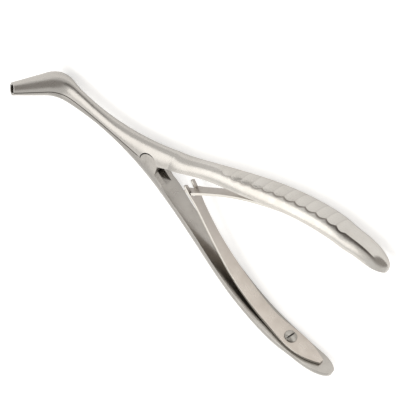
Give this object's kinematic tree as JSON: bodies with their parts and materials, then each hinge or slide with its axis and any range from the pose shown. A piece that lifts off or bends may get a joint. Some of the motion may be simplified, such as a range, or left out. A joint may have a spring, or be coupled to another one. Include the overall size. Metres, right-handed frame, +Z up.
{
  "type": "nasal speculum",
  "caption": "Hand-held nasal speculum: two pivoted branches with sprung handles and half-funnel blades that open when the handles are squeezed.",
  "frame": {"origin": "middle of the box round the object, on the level it rests on", "axes": "+X from the blades to the handle ends, +Y from the lower to the upper branch along the opening direction, +Z up, the way the blade tips point when it lies on its handles"},
  "size_m": [0.1484, 0.075, 0.0211],
  "materials": {
    "branch_steel": "fine satin stainless steel, polished along the blades",
    "pin_steel": "satin stainless steel, filed flush",
    "spring_steel": "satin spring steel, brushed along the leaf",
    "screw_steel": "turned stainless steel"
  },
  "bodies": {
    "lower_half": {"lower_branch": "branch_steel", "pivot_pin": "pin_steel", "lower_spring": "spring_steel", "lower_screw": "screw_steel"},
    "upper_half": {"upper_branch": "branch_steel", "upper_spring": "spring_steel", "upper_screw": "screw_steel"}
  },
  "joints": [
    {"name": "squeeze", "type": "hinge", "parent": "lower_half", "child": "upper_half", "pos_m": [-0.01849, 0, 0.00511], "axis": [0, 0, -1], "range_deg": [0, 22], "stiffness_Nm_per_rad": 1, "springref_deg": -5.73, "deforming": ["upper_spring", "lower_spring"]}
  ]
}
